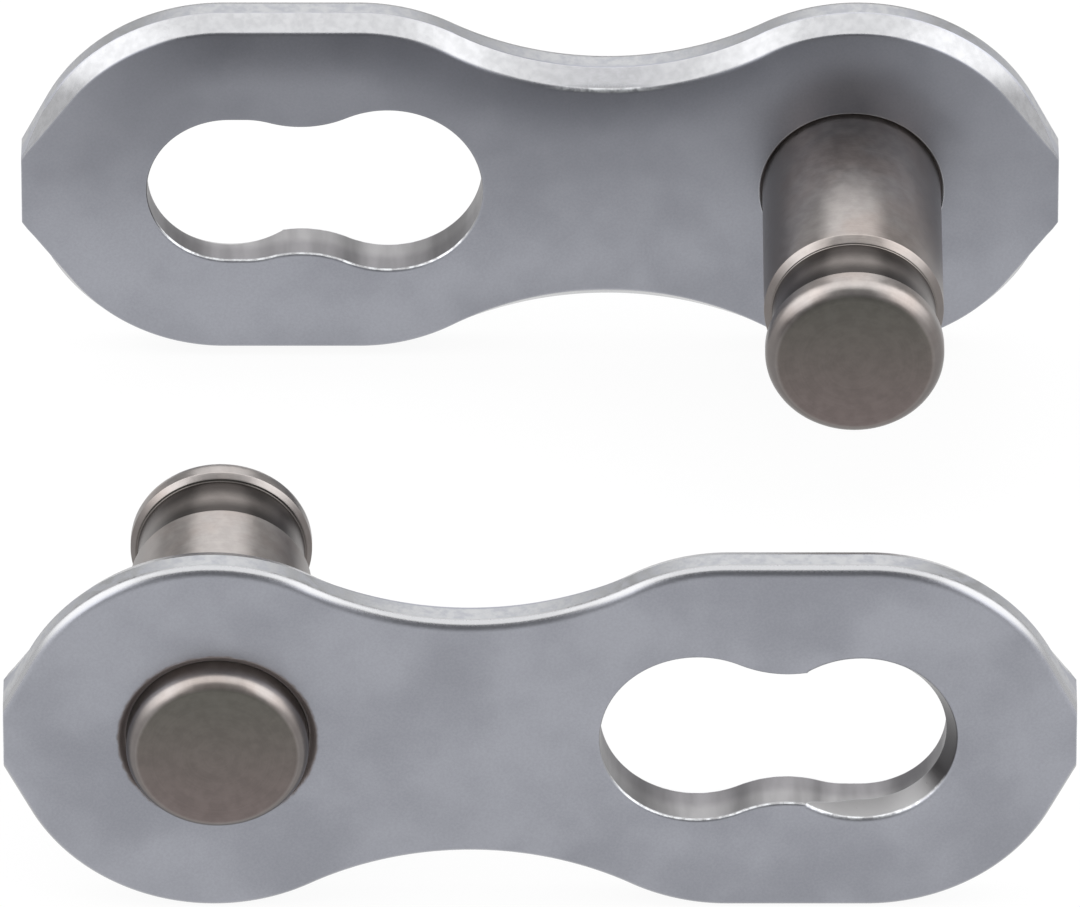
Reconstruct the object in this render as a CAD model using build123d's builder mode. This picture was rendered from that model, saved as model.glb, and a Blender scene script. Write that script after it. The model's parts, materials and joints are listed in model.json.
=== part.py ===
from build123d import *

import os
from math import acos, atan2, degrees, hypot, radians, sqrt, tan

# Connecting link of a 12.7 mm pitch roller chain, in the two halves that a fitter snaps together.
# Each half is a stamped outer plate with one grooved pin riveted into it. The halves are alike:
# turned half a turn about the vertical axis, one becomes the other. They face each other here with
# their pins pointing inwards, ready to close.
#
# Frame: X along the link, Y along the pins, Z up across the width of the plates. The origin is on the
# ground, midway between the halves, and the plates stand on their long edges.

# ---- Driving dimensions, in millimetres ----

# Plate outline
pitch = 12.7                 # pin axis to the axis of a pin seated in the slot
end_radius = 4.02            # round ends, and half the width of the plate
end_offset = 0.10            # centre of each round end, beyond the pin axis or the seat
waist_half = 2.73            # half the width of the plate at its waist
shoulder_run = 2.75          # straight edge from the centre of the slot end
plate_thickness = 1.0

# Sheared tab at each end, where the blank was held in its strip
tab_stand = 0.10             # flat of the tab beyond the round end
tab_half = 0.75              # half the height of that flat

# Coined bevel round the inner face, as (width on the face, depth on the edge)
bevel_ends = (0.24, 0.45)
bevel_waist = (0.34, 0.40)
bevel_tab_margin = 0.02      # the bevel runs out this far beyond the corners of the tabs
rim_radius = 0.22            # rolled-over rim round the outer face

# Pin
pin_radius = 1.82
inner_width = 4.55           # shoulder of the pin above the inner face of its plate
shoulder_chamfer = 0.13
groove_depth = 0.16
groove_play = 0.15           # groove longer than the plate is thick
head_relief = 0.01           # head smaller than the body, so that a bush passes it
head_length = 0.65
head_back_chamfer = 0.10
head_rim_radius = 0.36

# Riveted joint: the shank fills the hole of the plate, between the body and the upset end
shank_relief = 0.20          # smaller than the body
body_sunk = 0.11             # seat of the body, below the inner face
body_ring = 0.06             # open ring round the body in that seat
rivet_stand = 0.62           # upset end, proud of the outer face
rivet_relief = 0.02          # smaller than the body
rivet_bevel = (0.14, 0.24)   # width on the face, depth on the side
rivet_sunk = 0.25            # seat of the upset end, below the outer face
rivet_ring = 0.15            # open ring round the upset end in that seat

# Keyhole slot
seat_clearance = 0.03        # between the groove of the pin and the seat
entry_clearance = 0.11       # between the head and the entry lobe
seat_run = 0.31              # straight edge of the seat, from the centre of its round end
snap_bite = 0.14             # how far the neck of the slot bites into the groove
neck_radius = 2.2            # rounding of the two humps that form the neck
recess_clearance = 0.11      # round the head, where the flare of the seat meets the outer face
recess_slope = 30            # degrees between the flare and the axis of the seat
slot_rim = 0.08              # chamfer on the rims of the slot

# Halves apart, measured between their inner faces
face_gap = 18.9              # between the facing inner faces of the two halves

# ---- Derived sizes ----

pin_x = pitch / 2
seat_x = -pitch / 2
end_x = pitch / 2 + end_offset
tab_reach = end_radius + tab_stand
groove_radius = pin_radius - groove_depth
head_radius = pin_radius - head_relief
shank_radius = pin_radius - shank_relief
rivet_radius = pin_radius - rivet_relief
head_back = inner_width + plate_thickness + groove_play
pin_tip = head_back + head_length

seat_radius = groove_radius + seat_clearance
seat_lobe_x = seat_x + seat_clearance
seat_end_x = seat_lobe_x + seat_run
entry_radius = head_radius + entry_clearance
hump_y = groove_radius - snap_bite + neck_radius
hump_x = seat_end_x + sqrt((seat_radius + neck_radius) ** 2 - hump_y**2)
entry_x = hump_x + sqrt((entry_radius + neck_radius) ** 2 - hump_y**2)
recess_radius = head_radius + recess_clearance
recess_depth = 1.25 * (recess_radius - seat_radius) / tan(radians(recess_slope))


def inner_face(side):
    """Inner face of one half: x runs towards its pin, y runs up and z runs along its pin."""
    return Plane(
        origin=(0, side * face_gap / 2, end_radius),
        x_dir=(side, 0, 0),
        z_dir=(0, -side, 0),
    )


def plate_outline(plane, ends, waist, tab):
    """Outline of the plate for one radius of its ends, half width of its waist and reach of its tabs.

    The waist lies midway between the shoulder of the slot end and the pin end. Every arc is tangent to
    the next, and the tabs leave the round ends at a tangent too.
    """
    shoulder_x = shoulder_run - end_x
    waist_x = (shoulder_x + end_x) / 2
    half_run = end_x - waist_x
    waist_radius = (half_run**2 + waist**2 - ends**2) / (2 * (ends - waist))
    waist_top = waist + waist_radius
    shoulder_end = degrees(atan2(waist_top, half_run))
    tab_root = degrees(atan2(tab_half, tab) + acos(ends / hypot(tab, tab_half)))
    flat_x = end_x + tab
    with BuildSketch(plane) as outline:
        with BuildLine():
            slot_end = CenterArc((-end_x, 0), ends, 180 - tab_root, tab_root - 90)
            Line((-end_x, ends), (shoulder_x, ends))
            CenterArc((shoulder_x, 0), ends, 90, shoulder_end - 90)
            CenterArc((waist_x, waist_top), waist_radius, shoulder_end + 180, 180 - 2 * shoulder_end)
            pin_end = CenterArc((end_x, 0), ends, 180 - shoulder_end, tab_root + shoulder_end - 180)
            Polyline((-flat_x, 0), (-flat_x, tab_half), slot_end @ 0)
            Polyline(pin_end @ 1, (flat_x, tab_half), (flat_x, 0))
            mirror(about=Plane.XZ)
        make_face()
    return outline.sketch


def slot_outline(plane):
    """Keyhole: a seat for the groove of the pin, a neck between two humps, and a wider entry lobe."""
    to_seat = degrees(atan2(-hump_y, seat_end_x - hump_x))
    to_entry = degrees(atan2(-hump_y, entry_x - hump_x))
    with BuildSketch(plane) as slot:
        with BuildLine():
            CenterArc((seat_lobe_x, 0), seat_radius, 180, -90)
            Line((seat_lobe_x, seat_radius), (seat_end_x, seat_radius))
            CenterArc((seat_end_x, 0), seat_radius, 90, to_seat + 90)
            CenterArc((hump_x, hump_y), neck_radius, to_seat, to_entry - to_seat)
            CenterArc((entry_x, 0), entry_radius, to_entry + 180, -to_entry - 180)
            mirror(about=Plane.XZ)
        make_face()
    return slot.sketch


def build_plate(name, side):
    """Stamped outer plate with its bevels, keyhole slot and pin hole."""
    face = inner_face(side)
    outer_face = face.offset(-plate_thickness)
    along_pin = Axis(face.origin, face.z_dir)
    end_width, end_depth = bevel_ends
    waist_width, waist_depth = bevel_waist
    end_spread = end_width * (plate_thickness / end_depth - 1)
    waist_spread = waist_width * (plate_thickness / waist_depth - 1)

    with BuildPart() as plate:
        extrude(plate_outline(face, end_radius, waist_half, tab_reach), amount=-plate_thickness)

        # The bevel is a ruled skin that leans out from a narrower outline on the inner face to a wider
        # one on the outer face, and runs out at the tabs
        narrow = plate_outline(
            face, end_radius - end_width, waist_half - waist_width, tab_reach + bevel_tab_margin
        )
        wide = plate_outline(
            outer_face, end_radius + end_spread, waist_half + waist_spread, tab_reach + end_spread
        )
        loft(sections=[narrow, wide], ruled=True, mode=Mode.INTERSECT)

        # The flats of the tabs were sheared last, so the rolled rim stops at them
        outer_rim = plate.faces().sort_by(along_pin)[0].edges().filter_by(Axis.Z, reverse=True)
        fillet(outer_rim, radius=rim_radius)

        # The seat flares towards the outer face, where the head of the pin comes to rest
        extrude(slot_outline(face), amount=-plate_thickness, mode=Mode.SUBTRACT)
        with BuildSketch(outer_face):
            with Locations((seat_lobe_x, 0)):
                Circle(recess_radius)
        extrude(amount=recess_depth, taper=recess_slope, mode=Mode.SUBTRACT)
        for slot_face in (plate.faces().sort_by(along_pin)[-1], plate.faces().sort_by(along_pin)[0]):
            chamfer(slot_face.inner_wires()[0].edges(), length=slot_rim)

        # Hole for the shank, stepped on both faces for the body and the upset end of the pin
        for plane, seat, depth in (
            (face, pin_radius + body_ring, -body_sunk),
            (outer_face, rivet_radius + rivet_ring, rivet_sunk),
            (face, shank_radius, -plate_thickness),
        ):
            with BuildSketch(plane):
                with Locations((pin_x, 0)):
                    Circle(seat)
            extrude(amount=depth, mode=Mode.SUBTRACT)

    plate.part.label = f"{name}_plate"
    return plate.part


def build_pin(name, side):
    """Turned pin: riveted end, body, groove and head, as one revolved profile."""
    face = inner_face(side)
    base = face.origin + face.x_dir * pin_x
    rivet_width, rivet_bevel_depth = rivet_bevel
    rivet_face = -plate_thickness - rivet_stand
    rivet_seat = rivet_sunk - plate_thickness
    with BuildPart() as pin:
        with BuildSketch(Plane(origin=base, x_dir=face.y_dir, z_dir=face.x_dir)):
            with BuildLine():
                Polyline(
                    (head_radius - head_rim_radius, pin_tip),
                    (0, pin_tip),
                    (0, rivet_face),
                    (rivet_radius - rivet_width, rivet_face),
                    (rivet_radius, rivet_face + rivet_bevel_depth),
                    (rivet_radius, rivet_seat),
                    (shank_radius, rivet_seat),
                    (shank_radius, -body_sunk),
                    (pin_radius, -body_sunk),
                    (pin_radius, inner_width - shoulder_chamfer),
                    (pin_radius - shoulder_chamfer, inner_width),
                    (groove_radius, inner_width),
                    (groove_radius, head_back),
                    (head_radius - head_back_chamfer, head_back),
                    (head_radius, head_back + head_back_chamfer),
                    (head_radius, pin_tip - head_rim_radius),
                )
                CenterArc((head_radius - head_rim_radius, pin_tip - head_rim_radius), head_rim_radius, 0, 90)
            make_face()
        revolve(axis=Axis(base, face.z_dir))
    pin.part.label = f"{name}_pin"
    return pin.part


os.makedirs("parts", exist_ok=True)
for half, half_side in (("far", 1), ("near", -1)):
    for piece in (build_plate(half, half_side), build_pin(half, half_side)):
        export_step(piece, f"parts/{piece.label}.step")
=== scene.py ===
import json
import math

import bpy
from mathutils import Color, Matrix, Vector
from mathutils.geometry import tessellate_polygon


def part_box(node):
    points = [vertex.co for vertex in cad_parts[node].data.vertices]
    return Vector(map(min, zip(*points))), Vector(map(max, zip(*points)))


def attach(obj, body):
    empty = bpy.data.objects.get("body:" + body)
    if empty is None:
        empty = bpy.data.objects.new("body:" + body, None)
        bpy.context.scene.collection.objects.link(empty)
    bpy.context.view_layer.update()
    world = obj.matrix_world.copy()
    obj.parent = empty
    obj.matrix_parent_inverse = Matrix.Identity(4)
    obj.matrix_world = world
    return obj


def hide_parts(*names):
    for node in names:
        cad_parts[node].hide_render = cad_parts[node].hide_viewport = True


bl_info = {
    "name": "Chain Connecting Link",
    "version": (1, 0, 0),
    "blender": (4, 5, 0),
    "location": "3D View > Sidebar > Chain Link",
    "description": "Stamps the plates, turns the pins and sets the stage of a chain connecting link",
    "category": "Object",
}

MM = 0.001

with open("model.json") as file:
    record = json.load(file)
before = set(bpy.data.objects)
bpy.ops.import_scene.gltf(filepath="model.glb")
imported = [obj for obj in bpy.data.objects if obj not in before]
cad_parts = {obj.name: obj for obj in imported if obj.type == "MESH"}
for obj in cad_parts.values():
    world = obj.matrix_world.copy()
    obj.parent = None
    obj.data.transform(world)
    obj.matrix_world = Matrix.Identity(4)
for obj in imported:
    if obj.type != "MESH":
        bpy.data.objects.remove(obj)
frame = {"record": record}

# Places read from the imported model: each pin's axis, and how far it stands from its plate
pin_low, pin_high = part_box("far_pin")
plate_low, plate_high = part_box("far_plate")
pin_body = next(mount for mount in frame["record"]["mounts"] if mount["name"] == "far_pin_body")
BODY_RADIUS = pin_body["dims"]["r_mm"] * MM
PIN_X, _, PIN_Z = pin_body["pos_m"]
INNER_FACE = plate_low.y
PLATE_THICKNESS = plate_high.y - plate_low.y
PIN_REACH = INNER_FACE - pin_low.y
RIVET_REACH = pin_high.y - INNER_FACE

END_RADIUS = PIN_Z
TAB_FLAT = plate_high.x

HALVES = (("far", 1), ("near", -1))


# ---- Settings ----

def number(name, description, default, **kind):
    """A number that can't be negative."""
    return bpy.props.FloatProperty(name=name, description=description, default=default, min=0.0, **kind)


def length(name, description, millimetres):
    """A distance, given here in millimetres."""
    return number(name, description, millimetres * MM, precision=6, subtype="DISTANCE", unit="LENGTH")


def tilt(name, description, degrees):
    """An angle, given here in degrees."""
    return number(name, description, math.radians(degrees), subtype="ANGLE", unit="ROTATION")


def power(name, description, default):
    """Power of a lamp, in watts."""
    return number(name, description, default, subtype="POWER", unit="POWER")


def share(name, description, default):
    """A factor between 0 and 1."""
    return number(name, description, default, max=1.0, subtype="FACTOR")


def colour(name, description, default):
    """A linear colour."""
    return bpy.props.FloatVectorProperty(
        name=name, description=description, default=default, min=0.0, max=1.0, size=3, subtype="COLOR",
    )


class LinkPlateSettings(bpy.types.PropertyGroup):
    """Sizes and finish of the two stamped plates"""

    end_offset: length("End Offset", "Centre of each round end beyond the pin or the seat", 0.10)
    waist_half: length("Waist", "Half the width of the plate at its waist", 2.73)
    shoulder_run: length("Shoulder Run", "Straight edge from the centre of the slot end", 2.75)
    tab_half: length("Tab", "Half the height of the sheared flat at each end", 0.75)
    bevel_end: length("End Bevel", "Width of the coined bevel at the ends", 0.24)
    bevel_depth: length("End Bevel Depth", "Depth of the coined bevel at the ends", 0.45)
    bevel_waist: length("Waist Bevel", "Width of the coined bevel at the waist", 0.34)
    bevel_waist_depth: length("Waist Bevel Depth", "Depth of the coined bevel at the waist", 0.40)
    bevel_margin: length("Bevel Margin", "How far beyond the tab the bevel runs out", 0.02)
    rim_radius: length("Rim Radius", "Rolled rim round the outer face", 0.22)
    edge_roll: length("Edge Roll", "Rounding of the bevel's edge on the inner face", 0.05)
    fall_width: length("Fall Width", "Band where the inner face falls away to its edge", 1.3)
    fall_lean: tilt("Fall Lean", "Lean of the inner face at its edge, shown by its normals alone", 18)
    seat_clearance: length("Seat Clearance", "Play between the groove of the pin and the seat", 0.03)
    entry_clearance: length("Entry Clearance", "Play between the head and the entry", 0.11)
    seat_run: length("Seat Run", "Straight edge of the seat", 0.31)
    snap_bite: length("Snap Bite", "How far each hump bites into the groove", 0.14)
    neck_radius: length("Neck Radius", "Rounding of the two humps", 2.2)
    flare_clearance: length("Flare Clearance", "Play between the head and the flare of the seat", 0.11)
    flare_slope: tilt("Flare Slope", "Angle between the flare and the axis of the seat", 30)
    slot_rim: length("Slot Rim", "Rounding of the rims of the slot", 0.08)
    body_ring: length("Body Ring", "Open ring round the body of the pin", 0.06)
    rivet_ring: length("Upset End Ring", "Open ring round the upset end of the pin", 0.15)
    ring_fill: length("Ring Fill", "Depth of that ring above the dirt packed in it", 0.10)
    steel: colour("Steel", "Colour of the satin faces", (0.365, 0.373, 0.412))
    shade: colour("Shade", "Colour of the duller clouds on the faces", (0.275, 0.282, 0.315))
    # Painted shade for the upper part of the inner face, darker towards its top edge
    upper_shade: colour("Dusk", "Colour of the oil film on the upper part of the inner face", (0.145, 0.149, 0.168))
    sheared: colour("Sheared Edge", "Colour of the wall that the press tool cut", (0.44, 0.444, 0.455))
    coined: colour("Coined Bevel", "Colour of the coined bevel", (0.38, 0.382, 0.392))
    rolled: colour("Rolled Rim", "Colour of the rolled rim round the outer face", (0.39, 0.392, 0.402))
    bore: colour("Bore", "Colour of the slot's walls near the outer face", (0.31, 0.305, 0.31))
    torn: colour("Torn Bore", "Colour of those walls near the inner face", (0.245, 0.239, 0.248))
    flare: colour("Flare", "Colour of the flare round the seat", (0.33, 0.327, 0.33))
    # Painted shade at the slot's ends: on the walls that face along the slot and at the flare's upper end
    slot_end_shade: colour("Flare End", "Colour of oily dirt at the slot's ends", (0.08, 0.078, 0.081))
    grime: colour("Grime", "Colour of oily dirt round the riveted pin", (0.135, 0.108, 0.098))
    grime_reach: length("Grime Reach", "How far the oily dirt spreads from the pin's axis", 1.90)
    # Rubbed edges, and a painted highlight on the slot's upward-facing lips, share this bright colour
    worn_and_highlight: colour("Worn Edge", "Colour where the edges are rubbed bright", (0.80, 0.82, 0.84))
    roughness: share("Roughness", "Roughness of the satin faces", 0.42)
    wear_width: length("Wear Width", "How far the rubbed edges reach", 0.045)
    grain_size: length("Grain Size", "Size of the tumbled grain", 0.05)
    mottle_size: length("Mottle Size", "Size of the mottling on the cut walls", 0.20)
    tear_size: length("Tear Size", "Width of the marks that the punch leaves in the slot", 0.36)
    cloud_size: length("Cloud Size", "Size of the clouds on the faces", 3.2)


class LinkPinSettings(bpy.types.PropertyGroup):
    """Sizes and finish of the two turned pins"""

    groove_relief: length("Groove Depth", "Groove below the body", 0.16)
    shank_relief: length("Shank Relief", "Shank below the body, inside the plate", 0.20)
    rivet_relief: length("Upset End Relief", "Upset end below the body", 0.02)
    head_relief: length("Head Relief", "Head below the body, so that a bush passes it", 0.01)
    head_length: length("Head Length", "Length of the head beyond the groove", 0.65)
    groove_length: length("Groove Length", "Length of the groove", 1.15)
    head_rim: length("Head Rim", "Rounding of the rim of the head", 0.36)
    chamfer: length("Chamfer", "Chamfer of the shoulder", 0.13)
    back_chamfer: length("Back Chamfer", "Chamfer at the back of the head", 0.10)
    body_sunk: length("Body Seat", "Seat of the body below the inner face", 0.11)
    rivet_sunk: length("Upset End Seat", "Seat of the upset end below the outer face", 0.25)
    rivet_bevel: length("Upset End Bevel", "Depth of the bevel on the upset end", 0.24)
    rivet_bevel_width: length("Upset End Bevel Width", "Width of that bevel", 0.14)
    rivet_round: length("Upset End Rounding", "Rounding of both edges of that bevel", 0.30)
    rivet_crown: length("Crown", "Rise of the upset end towards its middle", 0.03)
    corner: length("Corner", "Rounding of every turned corner", 0.03)
    steps: bpy.props.IntProperty(
        name="Steps", description="Faces round the pin", default=128, min=24, max=256,
    )
    steel: colour("Steel", "Colour of the polished sides", (0.365, 0.339, 0.327))
    tint: colour("Temper Tint", "Colour of the warm patches left by hardening", (0.34, 0.293, 0.27))
    # Painted shade for the sides and underside of each pin
    sides: colour("Sides", "Colour that the oil film gives to the sides", (0.12, 0.108, 0.104))
    groove_tone: colour("Groove", "Colour of the middle of the groove", (0.175, 0.157, 0.148))
    # Painted shade at both ends of the groove, beside the shoulder and the head
    groove_end_shade: colour("Groove Ends", "Colour of the groove's oily ends", (0.055, 0.048, 0.045))
    # The end faces are painted lighter and pinker towards the bottom, a painted reflection
    dull: colour("Dull End", "Colour of the upper half of each dull end face", (0.122, 0.117, 0.104))
    dull_low: colour("Dull End Low", "Colour of the lower half of each dull end face", (0.178, 0.147, 0.141))
    # Rubbed rims, and a faint painted highlight on the shoulder chamfer, share this colour
    worn_and_highlight: colour("Worn Edge", "Colour where the rims are rubbed bright", (0.48, 0.455, 0.43))
    roughness: share("Roughness", "Roughness of the turned faces", 0.32)
    wear_width: length("Wear Width", "How far the rubbed rims reach", 0.05)
    grain_size: length("Grain Size", "Size of the fine grain", 0.045)
    mottle_size: length("Mottle Size", "Size of the mottling", 0.25)
    cloud_size: length("Cloud Size", "Size of the temper patches", 1.5)
    turning_pitch: length("Turning Pitch", "Spacing of the turning marks", 0.035)


class LinkStageSettings(bpy.types.PropertyGroup):
    """Floor, light and camera"""

    floor: colour("Floor", "Colour of the floor", (0.86, 0.86, 0.86))
    floor_glow: share("Floor Glow", "How much of the floor shows as plain white", 0.92)
    room: share("Room", "Brightness of the room behind and above", 0.40)
    room_front: share("Room Front", "Brightness of the room on the camera's side", 0.22)
    room_sides: share("Room Sides", "Brightness of the room at both sides", 0.95)
    panels: number("Side Panels", "Brightness of the white panels at both sides", 2.5)
    lamp_power: power("Lamp Power", "Power of the overhead lamp", 5.4)
    lamp_size: length("Lamp Size", "Side of the overhead lamp", 1100.0)
    lamp_height: length("Lamp Height", "Height of the overhead lamp", 950.0)
    rear_power: power("Rear Power", "Power of the lamp behind", 3.4)
    rear_width: length("Rear Width", "Width of the lamp behind", 950.0)
    rear_height: length("Rear Height", "Height of that lamp's face", 900.0)
    elevation: tilt("Elevation", "Camera above the horizon", 33.5)
    distance: length("Distance", "Camera to the middle of the pair", 480.0)
    aim_height: length("Aim Height", "Height that the camera looks at", 3.861)
    lens: number("Lens", "Focal length in millimetres for a sensor 36 mm wide", 797.7)


# ---- Node helpers ----

def add(tree, kind, values=None, **settings):
    """Adds a node with its settings. Each input gets a value, a colour at full alpha, or a link."""
    made = tree.nodes.new(kind)
    for key, value in settings.items():
        setattr(made, key, value)
    for key, value in (values or {}).items():
        if isinstance(value, bpy.types.NodeSocket):
            tree.links.new(value, made.inputs[key])
        else:
            made.inputs[key].default_value = (*value, 1.0) if isinstance(value, Color) else value
    return made


def math_node(tree, operation, *values, clamp=False):
    """The result of one Math node."""
    made = add(tree, "ShaderNodeMath", dict(enumerate(values)), operation=operation, use_clamp=clamp)
    return made.outputs[0]


def product(tree, *values):
    """All the values multiplied."""
    result = values[0]
    for value in values[1:]:
        result = math_node(tree, "MULTIPLY", result, value)
    return result


def weighed(tree, start, *terms):
    """The start value with each term added, which is a weight and what it weighs."""
    total = start
    for weight, value in terms:
        total = math_node(tree, "MULTIPLY_ADD", value, weight, total)
    return total


def absolute(tree, value):
    """The value without its sign."""
    return math_node(tree, "ABSOLUTE", value)


def less(tree, value, taken):
    """The value with something taken from it."""
    return math_node(tree, "SUBTRACT", value, taken)


def rest_of(tree, value):
    """What the value leaves of 1."""
    return less(tree, 1.0, value)


def from_axis(tree, across, up):
    """Distance from an axis, from the two distances square to each other."""
    return math_node(tree, "SQRT", weighed(tree, 0.0, (across, across), (up, up)))


def ramp(tree, value, low, high, start=0.0, end=1.0):
    """The value carried smoothly from start at low to end at high."""
    made = add(
        tree, "ShaderNodeMapRange",
        {0: value, 1: low, 2: high, 3: start, 4: end}, interpolation_type="SMOOTHSTEP",
    )
    return made.outputs[0]


def falling(tree, value, low, high):
    """1 below low, carried smoothly to 0 at high."""
    return ramp(tree, value, low, high, 1.0, 0.0)


def varied(tree, noise, low, high):
    """The middle part of a noise, stretched from low to high."""
    return ramp(tree, noise, 0.3, 0.7, low, high)


def blend_colour(tree, factor, first, second, how="MIX"):
    """The first colour turned into the second by the factor."""
    made = add(tree, "ShaderNodeMix", {0: factor, 6: first, 7: second}, data_type="RGBA", blend_type=how)
    return made.outputs[2]


def layered(tree, base, *layers):
    """The base colour under the layers, which are pairs of a mask and a colour, the top one last."""
    for mask, tone in layers:
        base = blend_colour(tree, mask, base, tone)
    return base


def shaded(tree, tone, factor):
    """The colour made darker or lighter by a factor about 1."""
    grey = add(tree, "ShaderNodeCombineXYZ", {0: factor, 1: factor, 2: factor}).outputs[0]
    return blend_colour(tree, 1.0, tone, grey, "MULTIPLY")


def noise_value(tree, place, scale, detail, roughness=0.5):
    """The value of one Noise node."""
    values = {"Vector": place, "Scale": scale, "Detail": detail, "Roughness": roughness}
    return add(tree, "ShaderNodeTexNoise", values).outputs[0]


def xyz(tree, vector):
    """The three parts of a vector, as sockets."""
    return add(tree, "ShaderNodeSeparateXYZ", {0: vector}).outputs


def object_place(tree):
    """Place on the object."""
    return add(tree, "ShaderNodeTexCoord").outputs["Object"]


def surface_normal(tree):
    """Way that the surface faces."""
    return add(tree, "ShaderNodeNewGeometry").outputs["Normal"]


def new_group(name, inputs, outputs):
    """A shader node group with named number inputs and outputs, and its two end nodes."""
    tree = bpy.data.node_groups.new(name, "ShaderNodeTree")
    for label, default in inputs:
        socket = tree.interface.new_socket(label, in_out="INPUT", socket_type="NodeSocketFloat")
        socket.default_value = default
    for label in outputs:
        tree.interface.new_socket(label, in_out="OUTPUT", socket_type="NodeSocketFloat")
    return tree, tree.nodes.new("NodeGroupInput").outputs, tree.nodes.new("NodeGroupOutput").inputs


def shared_group(tree, name, build, values):
    """Outputs of a shared shader group placed in a material. The group is built when first asked for."""
    group = bpy.data.node_groups.get(name) or build(name)
    return add(tree, "ShaderNodeGroup", values, node_tree=group).outputs


def in_scene(name, data):
    """A new object of the data, in the scene."""
    made = bpy.data.objects.new(name, data)
    bpy.context.scene.collection.objects.link(made)
    return made


# ---- Shared effects ----

def build_grain(name):
    """Tumbled grain, mottling and clouds, each a value about 0.5."""
    tree, source, result = new_group(
        name,
        [("Grain Size", 0.05 * MM), ("Mottle Size", 0.20 * MM), ("Cloud Size", 3.2 * MM)],
        ["Grain", "Mottle", "Cloud"],
    )
    turned = add(
        tree, "ShaderNodeMapping", {"Vector": object_place(tree), "Rotation": (0.65, 0.38, 0.91)}
    ).outputs[0]
    for size, made, rough in zip(source, ("Grain", "Mottle", "Cloud"), (0.65, 0.6, 0.55)):
        noise = noise_value(tree, turned, math_node(tree, "DIVIDE", 1.0, size), 3.0, rough)
        tree.links.new(noise, result[made])
    return tree


def build_edge_wear(name):
    """Rubbed edges: a mask where two faces meet, broken up a little."""
    tree, source, result = new_group(
        name, [("Width", 0.04 * MM), ("Break Up", 0.5), ("Gain", 4.0)], ["Mask"]
    )
    rounded = add(tree, "ShaderNodeBevel", {"Radius": source["Width"]}, samples=6).outputs[0]
    turn = add(
        tree, "ShaderNodeVectorMath", {0: rounded, 1: surface_normal(tree)}, operation="DOT_PRODUCT"
    ).outputs["Value"]
    sharp = math_node(tree, "MULTIPLY", rest_of(tree, turn), source["Gain"], clamp=True)
    patches = noise_value(tree, object_place(tree), 2200.0, 4.0)
    broken = rest_of(tree, product(tree, source["Break Up"], ramp(tree, patches, 0.35, 0.65)))
    tree.links.new(math_node(tree, "MULTIPLY", sharp, broken, clamp=True), result["Mask"])
    return tree


def build_turning_marks(name):
    """Fine marks that run round a pin, on its sides by height along it and on its ends by radius."""
    tree, source, result = new_group(name, [("Pitch", 0.035 * MM)], ["Marks"])
    place = xyz(tree, object_place(tree))
    across = less(tree, absolute(tree, place[0]), PIN_X)
    up = less(tree, place[2], PIN_Z)
    around = math_node(tree, "ARCTAN2", up, across)
    spread = add(
        tree, "ShaderNodeCombineXYZ",
        {
            0: math_node(tree, "DIVIDE", from_axis(tree, across, up), source["Pitch"]),
            1: math_node(tree, "DIVIDE", place[1], source["Pitch"]),
            2: product(tree, around, 0.35),
        },
    ).outputs[0]
    tree.links.new(noise_value(tree, spread, 1.0, 2.0, 0.6), result["Marks"])
    return tree


def grain_of(tree, settings):
    """Grain, mottling and clouds at the sizes of a piece's settings."""
    sizes = {
        "Grain Size": settings.grain_size,
        "Mottle Size": settings.mottle_size,
        "Cloud Size": settings.cloud_size,
    }
    return shared_group(tree, "link_grain", build_grain, sizes)


def worn_edges(tree, settings, break_up, gain):
    """Mask of the edges that are rubbed bright."""
    values = {"Width": settings.wear_width, "Break Up": break_up, "Gain": gain}
    return shared_group(tree, "link_edge_wear", build_edge_wear, values)["Mask"]


def new_material(name):
    """An empty material with its output, ready for nodes."""
    made = bpy.data.materials.new(name)
    made.use_nodes = True
    made.node_tree.nodes.clear()
    return made, made.node_tree, made.node_tree.nodes.new("ShaderNodeOutputMaterial")


def steel_shader(tree, output, tone, metallic, roughness, height, bump_strength, bump_height):
    """Steel with its finish, and a fine bump from the height."""
    bump = add(
        tree, "ShaderNodeBump", {"Strength": bump_strength, "Distance": bump_height, "Height": height}
    )
    shader = add(
        tree, "ShaderNodeBsdfPrincipled",
        {"Base Color": tone, "Metallic": metallic, "Roughness": roughness, "Normal": bump.outputs[0]},
    )
    tree.links.new(shader.outputs[0], output.inputs[0])


# ---- Finish of the plates ----

# How far a surface turns from a wall, where it is 0, to a face, where it is 1
WALL_ENDS = (0.20, 0.45)
SLANT_STARTS = (0.20, 0.40)
SLANT_ENDS = (0.60, 0.80)
ROLL_ENDS = (0.60, 0.85)
LIP_STARTS = (0.05, 0.30)
LIP_ENDS = (0.80, 0.97)

# A surface is outside, and not in the slot or the hole, past this length from the middle, or past the
# height that lies this far under the waist's
PAST_OPENINGS = (PIN_X + 2.2 * MM, PIN_X + 2.3 * MM)
UNDER_WAIST = (0.3 * MM, 0.2 * MM)

# Depths over which the painted shade on the inner face ends, a torn wall turns smooth and the outer side
# starts
TOP_SHADE_DEPTH = (0.05 * PLATE_THICKNESS, 0.15 * PLATE_THICKNESS)
TORN_DEPTH = (0.42 * PLATE_THICKNESS, 0.74 * PLATE_THICKNESS)
OUTER_DEPTH = (0.4 * PLATE_THICKNESS, 0.6 * PLATE_THICKNESS)

# Heights above the pin's axis and lengths from the middle over which painted shade gathers on the inner face
# and at the flare's upper end
TOP_SHADE_HEIGHT = (-2.2 * MM, 2.4 * MM)
END_SHADE_HEIGHT = (-1.6 * MM, -0.8 * MM)
END_SHADE_LENGTH = (PIN_X + 0.7 * MM, PIN_X + 1.4 * MM)


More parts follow.
